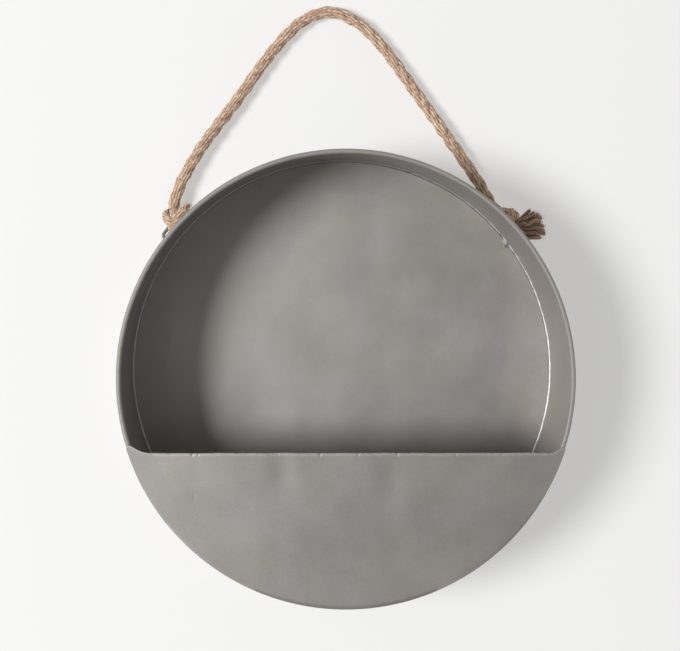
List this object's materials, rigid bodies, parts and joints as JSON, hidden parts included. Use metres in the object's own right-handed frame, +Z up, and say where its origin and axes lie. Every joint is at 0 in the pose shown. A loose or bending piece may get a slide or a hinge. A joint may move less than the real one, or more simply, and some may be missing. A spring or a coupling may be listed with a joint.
{
  "type": "metal hanging planter",
  "caption": "Round wall planter of dull grey zinc sheet: a shallow drum, open in front above a flat pocket, hung by a knotted jute rope that swings on wire lugs.",
  "frame": {"origin": "middle of the drum's flat back face, which lies on the wall", "axes": "+Z up, +Y into the wall, -Y out of the open front, +X to the right seen from the front"},
  "size_m": [0.3799, 0.1, 0.517],
  "materials": {
    "zinc_sheet": "dull grey zinc, matt with soft mottling",
    "steel_wire": "dull grey zinc on round wire",
    "solder": "semi-bright solder and weld metal",
    "jute": "twisted natural jute, hairy"
  },
  "bodies": {
    "drum": {"back_panel": "zinc_sheet", "side_band": "zinc_sheet", "pocket_panel": "zinc_sheet", "rim_wire": "steel_wire", "left_lug": "steel_wire", "right_lug": "steel_wire", "back_seam": "solder", "band_seam": "solder", "pocket_seam": "solder", "left_lug_welds": "solder", "right_lug_welds": "solder"},
    "hanger": {"rope": "jute", "left_knot": "jute", "right_knot": "jute", "left_eye": "jute", "right_eye": "jute", "left_tail": "jute", "right_tail": "jute"}
  },
  "joints": [
    {"name": "rope_swing", "type": "hinge", "parent": "drum", "child": "hanger", "pos_m": [0, -0.012, 0.13], "axis": [1, 0, 0], "range_deg": [0, 55]}
  ]
}
